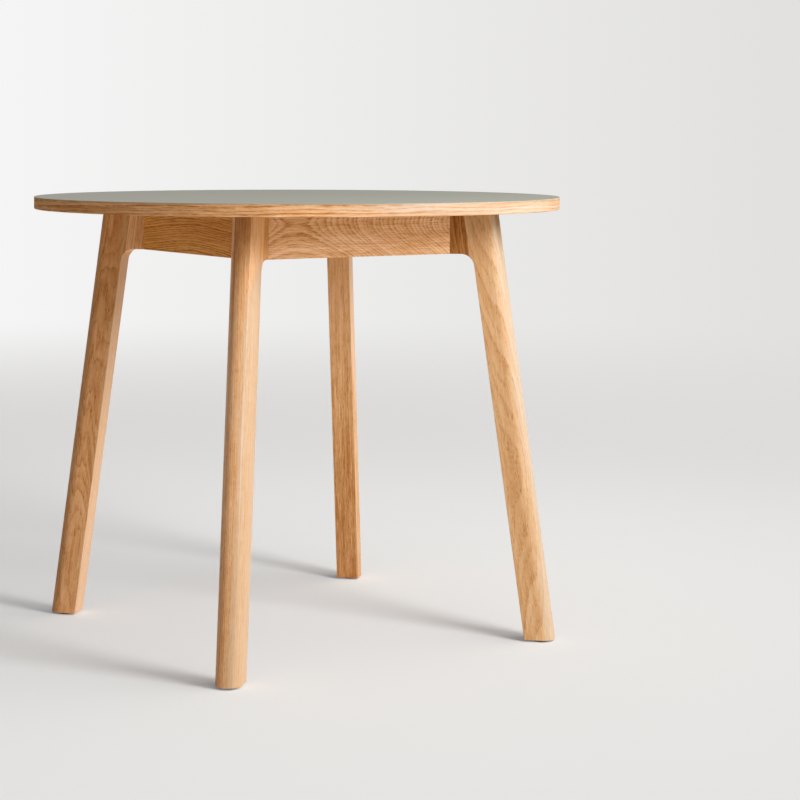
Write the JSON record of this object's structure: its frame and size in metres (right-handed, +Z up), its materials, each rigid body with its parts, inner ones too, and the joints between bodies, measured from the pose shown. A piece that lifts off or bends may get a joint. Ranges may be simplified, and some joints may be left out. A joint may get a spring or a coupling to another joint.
{
  "type": "round cafe table",
  "caption": "Round cafe table: laminate top with an oak edge band, square oak apron frame, splayed oak legs with glued shoulder blocks, and levelling glides.",
  "frame": {"origin": "on the floor, under the centre of the round top", "axes": "+Z up, the aprons run along X and Y, the legs stand in the diagonals, -Y is the front"},
  "size_m": [0.9099, 0.91, 0.76],
  "materials": {
    "top_laminate": "matte laminate",
    "oak_edge": "clear satin lacquer",
    "oak_leg": "clear satin lacquer",
    "oak_apron": "clear satin lacquer",
    "oak_shoulder": "clear satin lacquer",
    "oak_hidden": "bare oak",
    "core_board": "bare board",
    "backer": "matte balancing sheet",
    "zinc_steel": "zinc plated",
    "nylon": "moulded, matte black"
  },
  "bodies": {
    "table": {"top_surface": "top_laminate", "edge_band": "oak_edge", "top_core": "core_board", "backer_sheet": "backer", "apron_front": "oak_apron", "apron_right": "oak_apron", "apron_back": "oak_apron", "apron_left": "oak_apron", "leg_back_right": "oak_leg", "leg_back_left": "oak_leg", "leg_front_left": "oak_leg", "leg_front_right": "oak_leg", "shoulder_back_right": "oak_shoulder", "shoulder_back_left": "oak_shoulder", "shoulder_front_left": "oak_shoulder", "shoulder_front_right": "oak_shoulder", "brace_back_right": "oak_hidden", "brace_back_left": "oak_hidden", "brace_front_left": "oak_hidden", "brace_front_right": "oak_hidden", "shoulder_tenons": "oak_hidden", "leg_bolts": "zinc_steel", "bolt_washers": "zinc_steel", "leg_inserts": "zinc_steel", "brace_screws": "zinc_steel", "top_clips": "zinc_steel", "clip_screws": "zinc_steel", "glide_inserts": "zinc_steel"},
    "glide_back_right": {"glide_back_right": "nylon"},
    "stem_back_right": {"stem_back_right": "zinc_steel"},
    "glide_back_left": {"glide_back_left": "nylon"},
    "stem_back_left": {"stem_back_left": "zinc_steel"},
    "glide_front_left": {"glide_front_left": "nylon"},
    "stem_front_left": {"stem_front_left": "zinc_steel"},
    "glide_front_right": {"glide_front_right": "nylon"},
    "stem_front_right": {"stem_front_right": "zinc_steel"}
  },
  "joints": [
    {"name": "travel_back_right", "type": "slide", "parent": "table", "child": "glide_back_right", "axis": [0, 0, -1], "range_m": [0, 0.008]},
    {"name": "turn_back_right", "type": "hinge", "parent": "glide_back_right", "child": "stem_back_right", "pos_m": [0.30605, 0.30605, 0.004], "axis": [0, 0, -1], "range_deg": [0, 2300]},
    {"name": "travel_back_left", "type": "slide", "parent": "table", "child": "glide_back_left", "axis": [0, 0, -1], "range_m": [0, 0.008]},
    {"name": "turn_back_left", "type": "hinge", "parent": "glide_back_left", "child": "stem_back_left", "pos_m": [-0.30605, 0.30605, 0.004], "axis": [0, 0, -1], "range_deg": [0, 2300]},
    {"name": "travel_front_left", "type": "slide", "parent": "table", "child": "glide_front_left", "axis": [0, 0, -1], "range_m": [0, 0.008]},
    {"name": "turn_front_left", "type": "hinge", "parent": "glide_front_left", "child": "stem_front_left", "pos_m": [-0.30605, -0.30605, 0.004], "axis": [0, 0, -1], "range_deg": [0, 2300]},
    {"name": "travel_front_right", "type": "slide", "parent": "table", "child": "glide_front_right", "axis": [0, 0, -1], "range_m": [0, 0.008]},
    {"name": "turn_front_right", "type": "hinge", "parent": "glide_front_right", "child": "stem_front_right", "pos_m": [0.30605, -0.30605, 0.004], "axis": [0, 0, -1], "range_deg": [0, 2300]}
  ],
  "couplings": [
    {"joint": "travel_back_right", "follows": "turn_back_right", "m_per_rad": 0.00019894},
    {"joint": "travel_back_left", "follows": "turn_back_left", "m_per_rad": 0.00019894},
    {"joint": "travel_front_left", "follows": "turn_front_left", "m_per_rad": 0.00019894},
    {"joint": "travel_front_right", "follows": "turn_front_right", "m_per_rad": 0.00019894}
  ]
}
